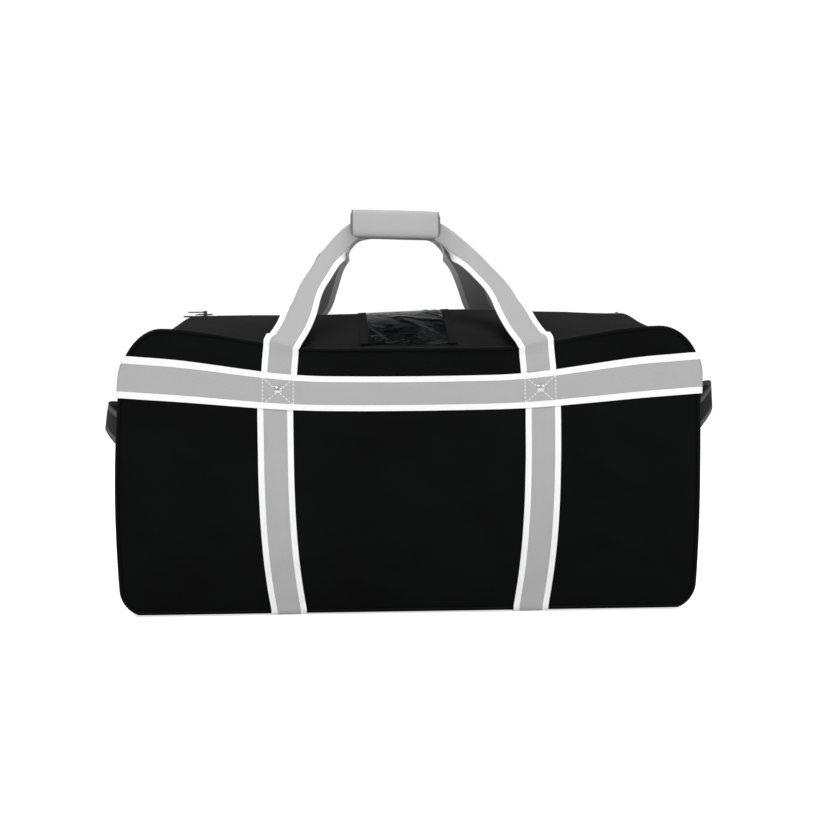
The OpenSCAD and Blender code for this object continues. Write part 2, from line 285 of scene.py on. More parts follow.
def seam_drop(x, y, z):
    """The top seams sag between the bag's corners, and the corners stand up."""
    high = np.clip(z / SEAM_Z, 0, 1.1) ** 6
    near_seam = np.clip(np.abs(y) / HALF_DEPTH, 0, 1) ** 3
    return high * near_seam * (-SEAM_SAG + CORNER_RISE * step01((np.abs(x) - 0.12) / 0.24))


def on_face(x, z, out, side=1):
    """A point on the front or rear panel, moved outwards by out."""
    y = -(HALF_DEPTH + front_swell(x, z, side) + out)
    return x + skew(x, z), y * side, z + seam_drop(x, y, z)


# %% The profile of an end, from the foot corner up to the top corner
FOOT_ARC = math.pi / 2 * FOOT_R
TOP_ARC = math.pi / 2 * TOP_R
SIDE_RUN = SEAM_Z - FOOT_Z - FOOT_R - TOP_R
EDGE_RUN = FOOT_ARC + SIDE_RUN + TOP_ARC


def edge_at(s):
    """Height, inset and outward direction (x, z) at a distance s along an end's profile."""
    foot = np.clip(s / FOOT_R, 0, math.pi / 2)
    top = np.clip((s - FOOT_ARC - SIDE_RUN) / TOP_R, 0, math.pi / 2)
    run = np.clip(s - FOOT_ARC, 0, SIDE_RUN)
    z = FOOT_Z + FOOT_R * (1 - np.cos(foot)) + run + TOP_R * np.sin(top)
    inset = FOOT_R * (1 - np.sin(foot)) + TOP_R * (1 - np.cos(top))
    return z, inset, np.sin(foot) * np.cos(top), np.sin(top) - np.cos(foot)

# %% [markdown]
# ## Materials
# Each one starts from the real cloth, plastic or metal. A weave is drawn a little
# coarser than the real thread where a true one would be too fine to see.

# %% Colour and node helpers
def linear(code):
    """sRGB hex to a linear colour."""
    parts = [int(code[i:i + 2], 16) / 255 for i in (1, 3, 5)]
    return tuple([c / 12.92 if c <= 0.04045 else ((c + 0.055) / 1.055) ** 2.4 for c in parts] + [1.0])


def join(owner, source, socket):
    """Links an output, or a node's first output, to a socket."""
    owner.node_tree.links.new(getattr(source, "outputs", [source])[0], socket)


def add_node(owner, kind, settings=None, links=None, stops=()):
    """Adds a shader node with its settings, its links and the hex stops of a colour ramp."""
    made = owner.node_tree.nodes.new("ShaderNode" + kind)
    for key, value in (settings or {}).items():
        if isinstance(key, str) and hasattr(made, key):
            setattr(made, key, value)
        else:
            made.inputs[key].default_value = value
    for key, source in (links or {}).items():
        join(owner, source, made.inputs[key])
    for _ in stops[2:]:
        made.color_ramp.elements.new(0.99)
    for i, (place, code) in enumerate(stops):
        made.color_ramp.elements[i].position = place
        made.color_ramp.elements[i].color = linear(code)
    return made


def new_material(name, **shader):
    """A Principled material, its shader's sockets and the object's own coordinates."""
    material = bpy.data.materials.new(name)
    material.use_nodes = True
    sockets = material.node_tree.nodes["Principled BSDF"].inputs
    for key, value in shader.items():
        sockets[key.replace("_", " ")].default_value = value
    return material, sockets, add_node(material, "TexCoord").outputs["Object"]


def colour_by(material, sockets, tone, stops):
    """Colours a material by a tone, between hex stops."""
    join(material, add_node(material, "ValToRGB", {}, {"Fac": tone}, stops), sockets["Base Color"])


def raise_by(material, sockets, height, strength, depth=0.4 * MM):
    """Raises a material's surface by a height."""
    raised = add_node(material, "Bump", {"Strength": strength, "Distance": depth}, {"Height": height})
    join(material, raised, sockets["Normal"])


# %% [markdown]
# Coated polyester is a plain weave of flat yarns with a soft shine. Two crossed waves
# make the yarns; the colour is painted lighter on the yarn tops and darker between
# them, as painted shade, and a broad noise keeps the black from looking flat.

# %% Woven cloth
def crossed_waves(material, pitch_x, pitch_y):
    """The waves of the yarns across and along a piece, on its own map, and the map's X."""
    place = add_node(material, "UVMap", {"uv_map": "cloth"})
    axes = add_node(material, "SeparateXYZ", {}, {0: place})
    waves = []
    for axis, pitch in (("X", pitch_x), ("Y", pitch_y)):
        turned = add_node(
            material, "Math", {"operation": "MULTIPLY", 1: 2 * math.pi / pitch}, {0: axes.outputs[axis]})
        waves.append(add_node(material, "Math", {"operation": "SINE"}, {0: turned}))
    return waves[0], waves[1], axes.outputs["X"]


def plain_weave(name, dark, light, thread, roughness, bump, sheen=0.0):
    """A plain weave with one thread across every so many metres."""
    material, sockets, place = new_material(
        name, Roughness=roughness, Sheen_Weight=sheen, Sheen_Roughness=0.5, Specular_IOR_Level=0.05)
    warp, weft, _ = crossed_waves(material, 2 * thread, 2 * thread)
    woven = add_node(material, "Math", {"operation": "MULTIPLY"}, {0: warp, 1: weft})
    lifted = add_node(material, "Math", {"operation": "MULTIPLY_ADD", 1: 0.5, 2: 0.5}, {0: woven})
    cloud = add_node(material, "TexNoise", {"Scale": 9.0, "Detail": 4.0}, {"Vector": place})
    # Painted shade: the weave's height also sets the colour, darker between the yarns and lighter on their
    # tops; the broad noise is the cloth's own uneven tone.
    tone_and_yarn_shade = add_node(material, "Math", {"operation": "MULTIPLY_ADD", 1: 0.45}, {0: lifted, 2: cloud})
    colour_by(material, sockets, tone_and_yarn_shade, [(0.3, dark), (0.95, light)])
    raise_by(material, sockets, lifted, bump)
    return material


# Black coated polyester, 600 denier: nearly black, faint weave, soft shine on folds.
coated_polyester = plain_weave("coated_polyester", "#030303", "#0a0b0b", 0.9 * MM, 0.66, 0.35)
# The same cloth's coated back is a little greyer and smoother.
polyester_back = plain_weave("polyester_back", "#17181a", "#202124", 0.9 * MM, 0.5, 0.15)
# Piping is cord wrapped in a strip of coated cloth.
piping_cloth = plain_weave("piping_cloth", "#040405", "#0b0c0c", 0.7 * MM, 0.5, 0.3)
# Binding is a folded grosgrain tape with fine cross ribs.
binding_tape = plain_weave("binding_tape", "#050505", "#0c0c0d", 0.8 * MM, 0.7, 0.5)
# Zip tape is a close knit.
zip_knit = plain_weave("zip_knit", "#060606", "#0e0e0e", 0.6 * MM, 0.8, 0.4)
# The grip is wrapped in plain grey cloth, and its edges are bound in a darker tape.
grip_cloth = plain_weave("grip_cloth", "#a8a8a8", "#bababa", 1.1 * MM, 0.75, 0.5, 0.15)
grip_binding = plain_weave("grip_binding", "#7e7e7e", "#949494", 0.9 * MM, 0.8, 0.5, 0.1)

# %% [markdown]
# Webbing is woven heavy and narrow: warp yarns run along it and the thick weft makes
# cross ribs about 1.3 mm apart. The grey yarns fill the middle and white ones the
# edges. Across the piece the map gives the place as a share of the width, so the edges
# stay with the webbing where it is folded narrow.

# %% Webbing with bands of colour across it
RIB = 1.3 * MM
YARN = 1.6 * MM


def webbing(name, bands, roughness=0.75):
    """bands: (distance from the middle as a share of the half width, colour) out to the edge."""
    material, sockets, place = new_material(
        name, Roughness=roughness, Sheen_Weight=0.05, Sheen_Roughness=0.5, Specular_IOR_Level=0.15)
    yarns, ribs, across = crossed_waves(material, YARN, RIB)
    share = add_node(material, "Math", {"operation": "MULTIPLY", 1: 2 / WEB}, {0: across})
    away = add_node(material, "Math", {"operation": "ABSOLUTE"}, {0: share})
    banded = add_node(material, "ValToRGB", {}, {"Fac": away}, bands)
    banded.color_ramp.interpolation = "CONSTANT"
    woven = add_node(material, "Math", {"operation": "MULTIPLY_ADD", 1: 0.5}, {0: yarns, 2: ribs})
    fuzz = add_node(material, "TexNoise", {"Scale": 400.0, "Detail": 2.0}, {"Vector": place})
    # Painted shade: the colour is darkened a little where the weave is low, between the ribs and yarns; the
    # fuzz below is the webbing's own uneven worn tone.
    shade = add_node(
        material, "MapRange", {"From Min": -1.5, "From Max": 1.5, "To Min": 0.94}, {"Value": woven})
    worn = add_node(
        material, "MapRange", {"From Min": 0.3, "From Max": 0.7, "To Min": 0.97}, {"Value": fuzz})
    both = add_node(material, "Math", {"operation": "MULTIPLY"}, {0: shade, 1: worn})
    colour = add_node(material, "VectorMath", {"operation": "SCALE"}, {"Vector": banded, "Scale": both})
    join(material, colour, sockets["Base Color"])
    raise_by(material, sockets, woven, 0.5)
    return material


# Face of the main webbing: grey with white edges, and a thin darker line between them.
edged_webbing = webbing("edged_webbing", [(0.0, "#b4b4b4"), (0.635, "#9c9c9c"), (0.66, "#ffffff")])
# Its back: dark grey, with two pairs of thin black lines.
webbing_back = webbing(
    "webbing_back",
    [(0.0, "#4c4c4c"), (0.40, "#141414"), (0.44, "#4c4c4c"), (0.52, "#141414"), (0.56, "#505050"),
     (0.80, "#2a2a2a"), (0.84, "#565656")], 0.8)
# End handles: black with a dark grey line near each edge.
dark_webbing = webbing("dark_webbing", [(0.0, "#0b0b0c"), (0.62, "#585858"), (0.92, "#2c2c2c")])

# White bonded nylon thread.
thread_white, sockets, place = new_material("white_thread", Roughness=0.5, Specular_IOR_Level=0.4)
twist = add_node(thread_white, "TexWave", {"Scale": 900.0, "Distortion": 2.0}, {"Vector": place})
colour_by(thread_white, sockets, twist.outputs["Fac"], [(0.0, "#e2e2e2"), (1.0, "#ffffff")])

# %% [markdown]
# The card window is soft clear vinyl. It is glossy and crumpled, so it is seen by its
# highlights over the black cloth. Its index is set far below real vinyl's, because at
# this low angle a true one would mirror the white studio. The metal parts are cast zinc
# with a plated finish, and the board is plain polyethylene sheet.

# %% Vinyl, metal and moulded plastic
clear_vinyl, sockets, place = new_material(
    "clear_vinyl", Roughness=0.08, Transmission_Weight=1.0, IOR=1.04, Specular_IOR_Level=0.1)
haze = add_node(clear_vinyl, "TexNoise", {"Scale": 30.0, "Detail": 2.0}, {"Vector": place})
colour_by(clear_vinyl, sockets, haze, [(0.2, "#8d9296"), (0.8, "#c4c9cc")])
raise_by(clear_vinyl, sockets, haze, 0.25, 1.0 * MM)


def grained(name, dark, light, scale, bump, **shader):
    """Metal or plastic whose surface varies finely."""
    material, sockets, place = new_material(name, **shader)
    grain = add_node(material, "TexNoise", {"Scale": scale, "Detail": 5.0}, {"Vector": place})
    colour_by(material, sockets, grain, [(0.3, dark), (0.7, light)])
    raise_by(material, sockets, grain, bump, 0.2 * MM)
    return material


plated_rivet = grained("plated_rivet", "#c8c8c8", "#f0f0f0", 300, 0.1, Metallic=1.0, Roughness=0.22)
plated_zinc = grained("plated_zinc", "#5c5c5e", "#78787a", 500, 0.2, Metallic=1.0, Roughness=0.35)
moulded_teeth = grained("moulded_teeth", "#131313", "#1e1e1e", 800, 0.1, Roughness=0.35)
polyethylene_sheet = grained("polyethylene_sheet", "#26262a", "#303034", 120, 0.3, Roughness=0.6)
hook_and_loop = grained("hook_and_loop", "#6c6c6c", "#8c8c8c", 1400, 1.0, Roughness=0.95)
print(len(bpy.data.materials), "materials")

# %% [markdown]
# ## Front and rear panels
# Each is one pattern piece with rounded corners. A grid whose rows narrow round the
# corners keeps the cloth's threads straight across the middle of the panel.

# %% Panels
def panel_place(side):
    def place(u, v):
        z, inset, _, _ = edge_at(v * EDGE_RUN)
        x = (2 * u - 1) * (half_len_at(z) - inset)
        return on_face(x, z, 0, side)
    return place


def body_cloth(name, steps_u, steps_v, place, size, faces_to, body="bag"):
    """A piece of the body's own cloth."""
    piece = cloth(name, steps_u, steps_v, place, size, CLOTH_T, faces_to)
    dress(piece, body, coated_polyester, polyester_back)
    return piece


for side, face in FACES:
    panel = body_cloth(
        f"{face}_panel_cloth", 220, 120, panel_place(side), (2 * HALF_LEN, SEAM_Z), from_middle)
    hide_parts(f"{face}_panel")

# %% [markdown]
# ## The gusset
# One strip of cloth runs round the bag between the two panels: up an end, over the top
# and under the base. Across its width v goes from -1 at the front seam to 1 at the rear
# one. It stands out most in the middle, a little on the ends and 42 mm at the crest.

# %% The gusset's surface
ZIP_POCKET = 6.5 * MM
POCKET_LEN = 64 * MM
POCKET_HALF = 25 * MM
POCKET_RAMP = 7 * MM
SADDLE_RUN = {-1: 72 * MM, 1: 60 * MM}
HUMP = 8 * MM
HUMP_X = 0.10
HUMP_RUN = 0.13
END_STAND = 9 * MM
FOOT_STAND = 3 * MM
TOP_SLACK = 2.6 * MM
ZIP_BAND = 22 * MM


def gusset_point(x_share, s, v, out=0.0):
    """A point on the strip at x_share's side; s is its distance up the end, then along the top."""
    z, inset, out_x, out_z = edge_at(np.minimum(s, EDGE_RUN))
    past = np.maximum(s - EDGE_RUN, 0)
    half = half_len_at(z) - inset - past
    up = np.clip(1 - ((z - SEAM_Z / 2) / (SEAM_Z / 2)) ** 2, 0, 1)
    side_y = HALF_DEPTH + 0.2 * SWELL * up * (past < 1e-9)
    belly = 1 - v ** 2
    end_share = np.clip((s - FOOT_ARC) / SIDE_RUN, 0, 1)
    stand = (FOOT_STAND + END_STAND * np.sin(math.pi * end_share)) * step01(s / FOOT_ARC)
    run = np.where(x_share > 0, SADDLE_RUN[1], SADDLE_RUN[-1])
    hump = HUMP * np.exp(-((half * x_share - HUMP_X) / HUMP_RUN) ** 2)
    crest = (CREST + hump) * step01((s - EDGE_RUN + TOP_ARC * 0.45) / run)
    bulge = belly * np.maximum(stand * (1 - step01((s - EDGE_RUN + TOP_ARC) / TOP_ARC)), 0) + belly * crest
    slack = fractal(half * x_share, v * HALF_DEPTH, z * 1.3, 0.13, 5.3) * TOP_SLACK * step01(belly * 2.5)
    on_top = past > 0
    across = np.abs(v) * side_y
    slack = slack * (1 - on_top * np.exp(-(across / ZIP_BAND) ** 2))
    past_flap = half - FLAP_HALF
    pocket = on_top * step01(past_flap / (3 * MM)) * step01((POCKET_LEN - past_flap) / POCKET_RAMP)
    pocket = ZIP_POCKET * pocket * step01((POCKET_HALF - across) / POCKET_RAMP)
    reach = bulge + slack + out - pocket
    x = x_share * (half + out_x * reach)
    x = x + skew(x, z)
    y = v * side_y
    return x, y, z + out_z * reach + seam_drop(x, y, z)


def gusset_place(x_share, s0, s1, v0, v1):
    def place(u, v):
        return gusset_point(x_share, s0 + (s1 - s0) * v, v0 + (v1 - v0) * u)
    return place


END_START = FOOT_ARC + SIDE_RUN
for x_share, end in ENDS:
    panel = body_cloth(
        f"{end}_end_panel_cloth", 70, 80, gusset_place(x_share, 0, END_START, -1, 1),
        (2 * HALF_DEPTH, SEAM_Z), lambda point: Vector((point.x, 0, 0)))
    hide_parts(f"{end}_end_panel")


# %% Base panel
def base_place(u, v):
    return (2 * u - 1) * (half_len_at(0) - FOOT_R), (2 * v - 1) * HALF_DEPTH, np.full(len(u), FOOT_Z)


base = body_cloth(
    "base_panel_cloth", 60, 30, base_place, (2 * HALF_LEN, 2 * HALF_DEPTH), lambda point: Vector((0, 0, -1)))
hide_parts("base_panel")

# %% [markdown]
# ## The top
# At each end a yoke is sewn in all round. Between them two flaps meet at the zip. On
# the real bag the cloth of a flap opens furthest in the middle and stays with the yoke
# at its ends, so each flap is three pieces of the one surface: a middle and two ends.

# %% Distances along the top
TOP_HALF = half_len_at(np.array([SEAM_Z]))[0] - TOP_R
FLAP_S = EDGE_RUN + TOP_HALF - FLAP_HALF
MIDDLE_HALF = 130 * MM
MIDDLE_S = EDGE_RUN + TOP_HALF - MIDDLE_HALF
ZIP_V = ZIP_HALF / HALF_DEPTH


def upwards(point):
    return Vector((point.x * 0.8, 0, 1))


for x_share, end in ENDS:
    yoke = body_cloth(
        f"top_{end}_yoke_cloth", 150, 90, gusset_place(x_share, END_START, FLAP_S, -1, 1),
        (2 * HALF_DEPTH, FLAP_S - END_START), upwards)
    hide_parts(f"top_{end}_yoke")


# %% Flaps in a middle and two ends
def top_strip(x0, x1, v0, v1, out=0.0):
    """The top's surface between two places along the bag and two across it."""
    def place(u, v):
        x = x0 + (x1 - x0) * u
        s = EDGE_RUN + TOP_HALF - np.abs(x)
        _, y, z = gusset_point(np.where(x < 0, -1, 1), s, v0 + (v1 - v0) * v, out)
        return x, y, z
    return place


FLAPS = {"front": ("front_flap", -1), "rear": ("rear_flap", 1)}


def hinge_blend(piece):
    """Bakes a middle piece's transform into its mesh."""
    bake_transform(piece)


def twist_blend(piece):
    """Bakes an end piece's transform into its mesh."""
    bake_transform(piece)


for flap, (body, side) in FLAPS.items():
    middle = body_cloth(
        flap + "_flap_middle", 90, 60, top_strip(-MIDDLE_HALF, MIDDLE_HALF, side, side * ZIP_V),
        (2 * MIDDLE_HALF, HALF_DEPTH), upwards, None)
    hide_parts(body)
    hinge_blend(middle)
    for x_share, end in ENDS:
        piece = body_cloth(
            f"{flap}_flap_{end}", 60, 60, gusset_place(x_share, FLAP_S, MIDDLE_S, side, side * ZIP_V),
            (HALF_DEPTH, MIDDLE_S - FLAP_S), upwards, None)
        twist_blend(piece)

# %% [markdown]
# ## Piping
# A cord in a folded strip of cloth is caught in the seam all round each panel. A curve
# along the seam with a round bevel makes it, turned to a mesh.

# %% Piping round both panels
PIPING_R = 3 * MM
PIPING_LOW = 5.4 * MM


def seam_loop(side):
    """Points all round a panel's edge."""
    z, inset, _, _ = edge_at(np.linspace(0, EDGE_RUN, 90))
    right = half_len_at(z) - inset
    flat = 1 - 2 * np.linspace(0, 1, 90)[1:-1]
    x = np.concatenate([right, right[-1] * flat, -right[::-1], -right[0] * flat])
    zz = np.concatenate([z, np.full(len(flat), z[-1]), z[::-1], np.full(len(flat), z[0])])
    return np.stack(on_face(x, zz, 0, side), axis=1)


def tube(name, points, radius, material, body):
    """A round cord along a closed ring of points."""
    curve = bpy.data.curves.new(name, "CURVE")
    curve.dimensions = "3D"
    curve.bevel_depth = radius
    curve.bevel_resolution = 2
    line = curve.splines.new("POLY")
    line.points.add(len(points) - 1)
    line.points.foreach_set("co", np.hstack([points, np.ones((len(points), 1))]).ravel())
    line.use_cyclic_u = True
    piece = bpy.data.objects.new(name, curve)
    bpy.context.scene.collection.objects.link(piece)
    only(piece)
    bpy.ops.object.convert(target="MESH")
    piece = bpy.context.object
    piece.data.uv_layers.new(name="cloth")
    smooth(piece, 80)
    dress(piece, body, material)
    return piece


for side, face in FACES:
    ring = seam_loop(side)
    ring[:, 2] = np.maximum(ring[:, 2], PIPING_LOW)
    bead = tube(f"{face}_piping_cord", ring, PIPING_R, piping_cloth, "bag")
    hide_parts(f"{face}_piping")

# %% [markdown]
# ## Straps
# Each strap is one length of webbing sewn up the front, under the base and up the
# rear. Its edges are woven white, so the map's X runs across it. Solidify builds the
# webbing inwards from its outer face, and over a seam it rides up on the piping.

# %% Straps under the bag
LAYER = 0.3 * MM
STRAP_OUT = LAYER + WEB_T
STRAP_TOP = 322 * MM
TURN_R = 9 * MM
RIDE_RUN = 9 * MM


def strap_mid(z):
    drawn_in = (1 - np.clip(z / BELT_Z, 0, 1)) ** 3.5
    return STRAP_X + 4 * MM + (STRAP_FOOT_X - STRAP_X - 4 * MM) * drawn_in


def over_piping(distance):
    """Extra height of webbing that passes over piping at this distance from the seam."""
    return PIPING_R * np.exp(-(distance / RIDE_RUN) ** 2)


def strap_place(x_share):
    run = STRAP_TOP - TURN_R
    turn = math.pi / 2 * TURN_R
    flat = 2 * (HALF_DEPTH + STRAP_OUT - TURN_R)
    total = 2 * run + 2 * turn + flat

    def place(u, v):
        s = v * total
        mirrored = s > total / 2
        s = np.where(mirrored, total - s, s)
        z = np.clip(STRAP_TOP - s, TURN_R, None)
        angle = np.clip((s - run) / TURN_R, 0, math.pi / 2)
        inward = np.clip(s - run - turn, 0, None)
        x = x_share * strap_mid(z) + (u - 0.5) * WEB
        side = np.where(mirrored, -1, 1)
        swell = np.where(mirrored, front_swell(x, z, -1), front_swell(x, z, 1))
        face_y = HALF_DEPTH + swell + STRAP_OUT + over_piping(z - 8 * MM) * 0.6
        y = face_y - TURN_R * (1 - np.cos(angle)) - inward * (face_y - TURN_R) / (flat / 2)
        zz = np.where(angle > 0, TURN_R * (1 - np.sin(angle)), z)
        return x, -side * y, zz
    return place


for x_share, name in ENDS:
    strap = cloth(
        f"{name}_strap_webbing", 12, 420, strap_place(x_share), (WEB, 1.07), WEB_T,
        lambda point: Vector((0, point.y, (point.z - 0.1) * 2)))
    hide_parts(f"front_strap_{name}", f"rear_strap_{name}", f"base_strap_{name}")
    dress(strap, "bag", edged_webbing, webbing_back)

# %% [markdown]
# ## The belt
# One length of webbing goes right round the bag over the straps and the piping. It
# hangs a little lower in the middle of each long side, where the cloth gives most.

# %% Belt right round
CORNER_R = PIPING_R + STRAP_OUT
OVER_CORNER = CORNER_R - STRAP_OUT


def end_s(z, v):
    """Distance up an end's profile at which its surface has this height."""
    s = FOOT_ARC + z - FOOT_Z - FOOT_R
    for _ in range(12):
        s = s - 0.8 * (gusset_point(1, s, v)[2] - z)
    return s


def belt_out(x):
    """Height of the belt's face over the panel: more where a strap lies under it."""
    over = np.zeros(len(x))
    for centre in (-STRAP_X, STRAP_X):
        over = over + step01((WEB / 2 + RIDE_RUN - np.abs(x - centre)) / RIDE_RUN)
    return STRAP_OUT + over * (WEB_T + LAYER)


def belt_place(u, v):
    """The lap is a face, a corner, an end and a corner, and then the same again."""
    across = (u - 0.5) * WEB
    half_lap = [2 * HALF_LEN, math.pi / 2 * CORNER_R, 2 * HALF_DEPTH, math.pi / 2 * CORNER_R]
    stops = np.cumsum([0] + half_lap + half_lap)
    s = (v * stops[-1] + HALF_LEN) % stops[-1]
    part = np.clip(np.searchsorted(stops, s, side="right") - 1, 0, 7)
    share = (s - stops[part]) / np.diff(stops)[part]
    points = np.zeros((3, len(u)))
    for kind in range(8):
        here = part == kind
        t, a = share[here], across[here]
        x_side = 1 if kind in (1, 2, 3) else -1
        there = (2 * t - 1) * (1 if kind < 4 else -1)
        level = BELT_END_Z + a
        if kind in (0, 4):
            level = BELT_Z + (BELT_END_Z - BELT_Z) * there ** 2 + a
            px = there * half_len_at(level)
            out = belt_out(px) + OVER_CORNER * step01((np.abs(there) - 0.96) / 0.04)
            points[:, here] = on_face(px, level, out, 1 if kind == 0 else -1)
        elif kind in (2, 6):
            out = STRAP_OUT + OVER_CORNER * step01((np.abs(there) - 0.93) / 0.07)
            height = level + seam_drop(HALF_LEN, there * HALF_DEPTH, level)
            px, py, _ = gusset_point(x_side, end_s(height, there), there, out)
            points[:, here] = px, py, height
        else:
            y_side = -1 if kind in (1, 7) else 1
            turned = (t if kind in (1, 5) else 1 - t) * math.pi / 2
            height = level + seam_drop(HALF_LEN, HALF_DEPTH, level)
            _, inset, _, _ = edge_at(end_s(height, np.ones(len(a))))
            cx = half_len_at(level) - inset
            cy = HALF_DEPTH + front_swell(cx, level)
            px = x_side * (cx + CORNER_R * np.sin(turned)) + skew(cx, level)
            points[:, here] = px, y_side * (cy + CORNER_R * np.cos(turned)), height
    return points


belt = cloth(
    "belt_webbing", 12, 620, belt_place, (WEB, 4 * (HALF_LEN + HALF_DEPTH)), WEB_T,
    lambda point: Vector((point.x / 4, point.y, 0)), closed=True)
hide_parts("belt_front", "belt_rear", "belt_left", "belt_right")
dress(belt, "bag", edged_webbing, webbing_back)

# %% [markdown]
# ## Carry handles
# Above the belt each pair of straps bends at the seam, leans in over the bag and meets
# at the grip, folded narrower on the way. The webbing follows a smooth curve through a
# few chosen points, and its edges curl back where it is squeezed.

# %% Handle webbing
HANDLE_POINTS = {
    "front": [(183, 0), (177, 13), (167, 36), (157, 68), (152, 96), (145, 122), (132, 150), (110, 190),
              (87, 222), (72, 243), (51, 258), (0, 263)],
    "rear": [(183, 0), (164, 30), (146, 60), (134, 86), (123, 128), (112, 168), (99, 198), (80, 229),
             (58, 253), (0, 262)],
}
OUTER_SIDE = {"front": -1, "rear": 1}
FOLD_FROM = {"front": (0.22, 0.70), "rear": (0.66, 0.66)}
FOLD_RUN = {"front": (0.26, 0.22), "rear": (0.18, 0.18)}
GRIP_SWAY = -11 * MM
GRIP_RISE = {"front": 11 * MM, "rear": 21 * MM}
GRIP_BACK = {"front": 0, "rear": -15 * MM}
FACE_STEPS = 16
BEND_RUN = 16 * MM
OVER_BEND = 3.4 * MM


def smooth_curve(points):
    """A Catmull-Rom curve through points, with ten steps from each to the next."""
    points = np.array(points, float)
    padded = np.vstack([2 * points[0] - points[1], points, 2 * points[-1] - points[-2]])
    t = np.arange(10)[:, None] / 10
    runs = []
    for i in range(len(points) - 1):
        a, b, c, d = padded[i:i + 4]
        runs.append(0.5 * (2 * b + (c - a) * t + (2 * a - 5 * b + 4 * c - d) * t ** 2
                           + (3 * b - a - 3 * c + d) * t ** 3))
    return np.vstack(runs + [points[-1:]])


def soften(rows, times):
    """Averages each row but the end ones with three on each side."""
    for _ in range(times):
        rows[4:-4] = sum(rows[4 + i:len(rows) - 4 + i] for i in range(-3, 4)) / 7


def handle_axes(joint):
    """A handle's bend, the way it leans and the way its face looks, all at rest."""
    bend = np.array(JOINTS[joint]["pos_m"])
    grip_mid = (grip_low + grip_high) / 2
    side = 1 if bend[1] < 0 else -1
    lean = np.array([0, side * (grip_mid.y + abs(bend[1])), grip_mid.z - bend[2]])
    length = np.linalg.norm(lean)
    lean = lean / length
    face = np.array([0, -side * lean[2], side * lean[1]])
    return bend, lean, face, length, side


def handle_path(name, scale):
    """Middle line, width direction, face direction and place of a handle's webbing."""
    joint = f"{name}_handle_fold"
    bend, lean, face, length, side = handle_axes(joint)
    z = np.linspace(STRAP_TOP, SEAM_Z - 5 * MM, FACE_STEPS)
    drawn = (STRAP_X - HANDLE_POINTS[name][0][0] * MM) * (z - STRAP_TOP) / (SEAM_Z - STRAP_TOP)
    sewn = on_face(STRAP_X - drawn, z, STRAP_OUT + over_piping(SEAM_Z - z), side)
    rows = list(np.stack([*sewn, 0 * z], axis=1))
    for px, s in smooth_curve(HANDLE_POINTS[name]):
        s = s * scale * MM
        past = 1 - np.exp(-s / BEND_RUN)
        point = bend + lean * (s + 2 * MM * past) + face * (WEB_T / 2) * past
        over = OVER_BEND * np.exp(-(s / (14 * MM)) ** 2)
        rows.append([px * MM, point[1] - side * over, point[2] + 0.5 * over, s / length])
    right = np.array(rows)
    whole = np.vstack([right * [-1, 1, 1, 1], right[::-1][1:]])
    centre, share = whole[:, :3], whole[:, 3]
    moved = step01(share)[:, None]
    soften(centre[:, 0], 3)
    centre = centre + moved * [0, GRIP_BACK[name], GRIP_RISE[name]] + moved ** 2 * [GRIP_SWAY, 0, 0]
    tangent = np.gradient(centre, axis=0)
    tangent /= np.linalg.norm(tangent, axis=1)[:, None]
    mix = (step01(share * length / BEND_RUN) * (1 - 0.9 * step01((share - 0.6) / 0.35)))[:, None]
    look = (1 - mix) * [0, -side, 0] + mix * [0, -side * abs(face[1]), abs(face[2])]
    soften(tangent, 2)
    width_way = np.cross(tangent, look)
    width_way /= np.linalg.norm(width_way, axis=1)[:, None]
    look = np.cross(width_way, tangent)
    return centre, width_way, look, share


def turned_under(across, amount, crease):
    """Where a place across the webbing goes when its edge is turned under, and how deep."""
    reach, depth = 0, 0
    for step in (np.arange(16) + 0.5) / 16:
        bend = amount * 2.6 * step01((np.abs(across) * step - crease) / 0.3)
        reach = reach + across * np.cos(bend) / 16
        depth = depth + np.abs(across) * np.sin(bend) / 16
    return reach, depth


def handle_place(name, scale):
    centre, width_way, look, share = handle_path(name, scale)
    run = np.concatenate([[0], np.cumsum(np.linalg.norm(np.diff(centre, axis=0), axis=1))])

    def place(u, v):
        def at(values):
            return np.interp(v * run[-1], run, values)
        across = 2 * u - 1
        place_share = at(share)
        outer = across * OUTER_SIDE[name] > 0
        amount = step01((place_share - np.where(outer, *FOLD_FROM[name])) / np.where(outer, *FOLD_RUN[name]))
        reach, depth = turned_under(across, amount, np.where(outer, 0.34, 0.5))
        curl = 0.10 * step01(place_share / 0.8) * across ** 2
        wave = 0.05 * np.sin(at(run) * 38) * place_share * across
        back = (depth + curl + wave) * WEB / 2
        return [at(centre[:, i]) + at(width_way[:, i]) * reach * WEB / 2 - at(look[:, i]) * back
                for i in range(3)]
    return place, run[-1]


for name, scale in (("front", 1.0), ("rear", 0.935)):
    side = 1 if name == "front" else -1
    place, length = handle_place(name, scale)
    web = cloth(
        f"{name}_handle_webbing", 32, 420, place, (WEB, length), WEB_T,
        lambda point: Vector((0, -side, 0.6)))
    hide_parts(f"{name}_handle")
    dress(web, None, edged_webbing, webbing_back)
    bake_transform(web)

# %% [markdown]
# ## The grip
# A padded sleeve of grey cloth lies round the folded webbing, and an outer skin closes
# over it with hook and loop. Both have a bound edge. In section the sleeve is a soft
# rounded block, so a superellipse gives its outline.

# %% Grip
GRIP_BEND, GRIP_LEAN, _, GRIP_REACH, _ = handle_axes("front_handle_fold")
GRIP_MID = GRIP_BEND + GRIP_LEAN * GRIP_REACH + np.array([GRIP_SWAY, 0, GRIP_RISE["front"]])
GRIP_TILT = -0.03
GRIP_UP = np.array([0, math.sin(math.radians(8)), math.cos(math.radians(8))])
GRIP_OUT = np.array([0, -GRIP_UP[2], GRIP_UP[1]])
GRIP_HALF = grip_high.x - 4 * MM
GRIP_TALL = 17.5 * MM
GRIP_THICK = 12 * MM


